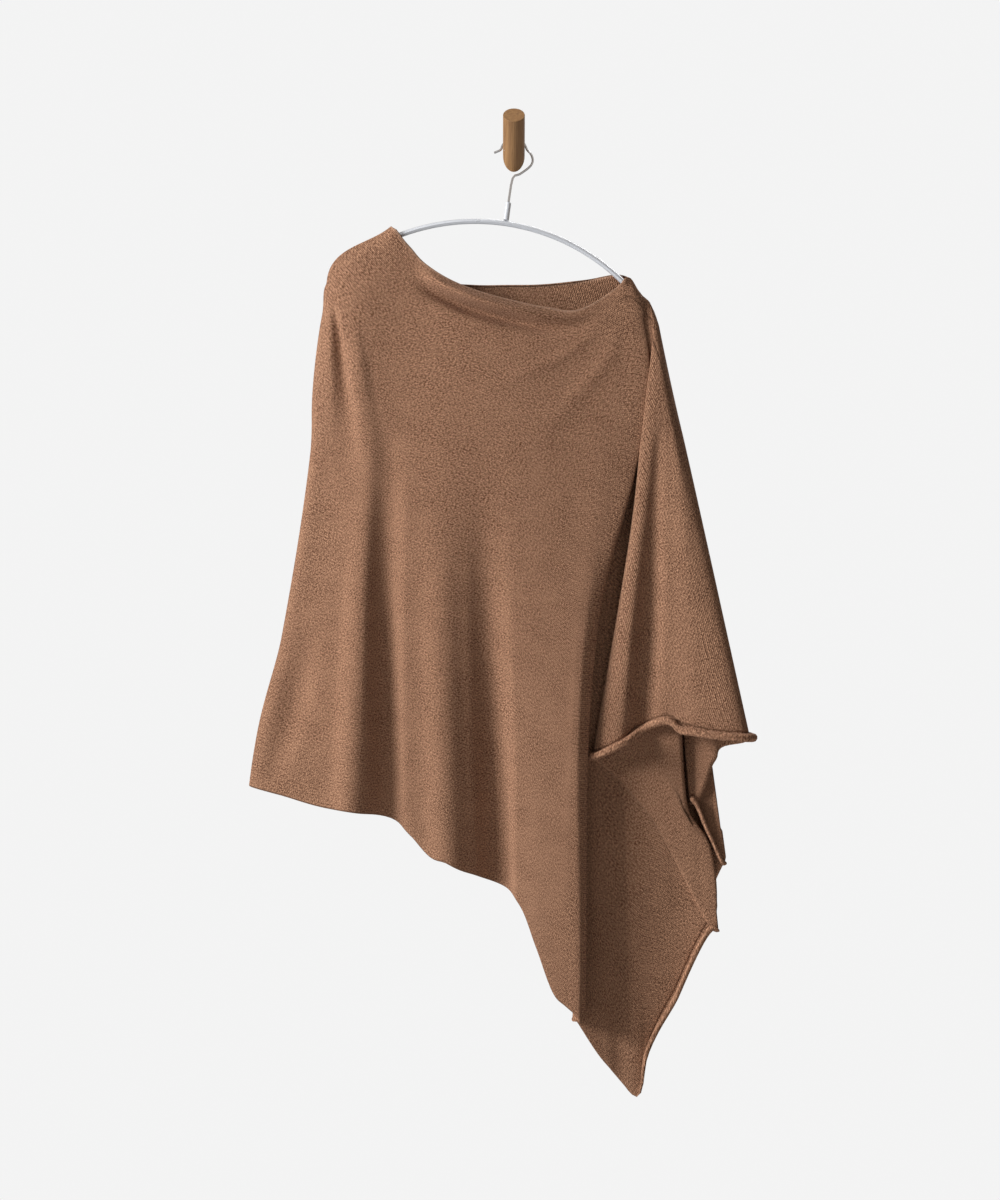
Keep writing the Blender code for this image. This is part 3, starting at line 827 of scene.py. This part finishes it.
def oiledWood():
    material, tree, shader = newMaterial("oiledWood", wood["roughness"])
    place = addNode(tree, "ShaderNodeTexCoord").outputs["Object"]
    leaning = {"Vector": place, "Rotation": (wood["lean"], 0.0, 0.0)}
    leaning = addNode(tree, "ShaderNodeMapping", leaning).outputs[0]
    drawn = addNode(tree, "ShaderNodeMapping", {"Vector": leaning, "Scale": wood["grainScale"]}).outputs[0]
    grain = noiseNode(tree, drawn, *wood["grainNoise"]).outputs["Fac"]
    rings = {"Vector": leaning, "Location": wood["ringPlace"], "Scale": wood["ringScale"]}
    rings = addNode(tree, "ShaderNodeMapping", rings).outputs[0]
    ring = noiseNode(tree, rings, 1.0).outputs["Fac"]
    colour = mixColour(tree, rangeNode(tree, grain, *wood["grainRange"]), wood["dark"], wood["light"])
    ringShare = rangeNode(tree, ring, *wood["ringRange"], 0.0, wood["ringShare"])
    colour = mixColour(tree, ringShare, colour, wood["ringColour"])
    tree.links.new(colour, shader.inputs["Base Color"])
    relief = {"Height": grain, "Strength": wood["bumpStrength"], "Distance": wood["bump"]}
    bump = addNode(tree, "ShaderNodeBump", relief)
    tree.links.new(bump.outputs[0], shader.inputs["Normal"])
    return material


def dress(node, material):
    item = bpy.data.objects[node]
    item.data.materials.clear()
    item.data.materials.append(material)


white = smoothCoat("satinWhite")
dress("hanger_arm", white)
dress("hanger_ferrule", white)
dress("hanger_hook", smoothCoat("chromeWire"))
dress("wall_peg", oiledWood())
print("materials done")

# the room: lengths in metres, power in watts
view = {
    "distance": 6.0,  # from the wall
    "x": -0.0177,
    "z": -0.567,
    "high": 1.518,  # of what the picture shows, at the cloth
    "clothDepth": 0.06,
    "sensor": 36,
    "farthest": 60,
}
floor = {
    "radius": 5.5,
    "height": -2.3,
    "corners": 96,
    "cloudScale": 3.0,
    "dark": (0.80, 0.80, 0.80),
    "light": (0.84, 0.84, 0.84),
    "roughness": 0.9,
}
room = {
    "seen": 0.9,  # strength of the pale room that the camera sees
    "mirrored": 0.6,  # share of it in what shines
    "lit": 0.055,
    "warm": (1.0, 0.76, 0.56),
    "white": (1.0, 1.0, 1.0),
}
lights = {
    "key": {"place": (-5.7, -2.65, 1.45), "size": 2.0, "power": 540},
    "top": {"place": (-0.6, -0.9, 2.1), "size": 1.0, "power": 16},
    "fill": {"place": (1.6, -4.2, 0.2), "size": 2.6, "power": 8},
    "rear": {"place": (1.2, 3.4, 1.6), "size": 2.4, "power": 70},
}
lightsAim = Vector((0, 0, -0.55))


def makeFloor():
    bpy.ops.object.select_all(action="DESELECT")
    bpy.ops.mesh.primitive_circle_add(
        vertices=floor["corners"], radius=floor["radius"], fill_type="NGON", location=(0, 0, floor["height"]))
    ground = bpy.context.object
    ground.name = "floor"
    moveTo(studio, ground)
    material, tree, shader = newMaterial("paleFloor", floor["roughness"])
    place = addNode(tree, "ShaderNodeTexCoord").outputs["Object"]
    cloud = noiseNode(tree, place, floor["cloudScale"]).outputs["Fac"]
    tree.links.new(mixColour(tree, cloud, floor["dark"], floor["light"]), shader.inputs["Base Color"])
    ground.data.materials.append(material)


def makeRoom():
    world = bpy.data.worlds.new("paleRoom")
    bpy.context.scene.world = world
    world.use_nodes = True
    tree = world.node_tree
    rays = addNode(tree, "ShaderNodeLightPath").outputs
    mirrored = mathNode(tree, "MULTIPLY", rays["Is Glossy Ray"], room["mirrored"])
    seen = mathNode(tree, "MAXIMUM", rays["Is Camera Ray"], mirrored)
    background = tree.nodes["Background"].inputs
    tree.links.new(mixColour(tree, seen, room["warm"], room["white"]), background["Color"])
    tree.links.new(rangeNode(tree, seen, 0.0, 1.0, room["lit"], room["seen"]), background["Strength"])
    bpy.context.scene.view_settings.view_transform = "Standard"


def makeLight(name):
    data = bpy.data.lights.new(name, "AREA")
    data.size = lights[name]["size"]
    data.energy = lights[name]["power"]
    place = Vector(lights[name]["place"])
    item = bpy.data.objects.new(name, data)
    item.location = place
    item.rotation_euler = (lightsAim - place).to_track_quat("-Z", "Y").to_euler()
    studio.objects.link(item)


def makeCamera():
    data = bpy.data.cameras.new("camera")
    data.sensor_width = view["sensor"]
    data.lens = view["sensor"] * (view["distance"] - view["clothDepth"]) / view["high"]
    data.clip_end = view["farthest"]
    item = bpy.data.objects.new("camera", data)
    item.location = (view["x"], -view["distance"], view["z"])
    item.rotation_euler = (math.pi / 2, 0, 0)
    studio.objects.link(item)
    bpy.context.scene.camera = item


makeFloor()
makeRoom()
for lightName in lights:
    makeLight(lightName)
makeCamera()
print("studio done")
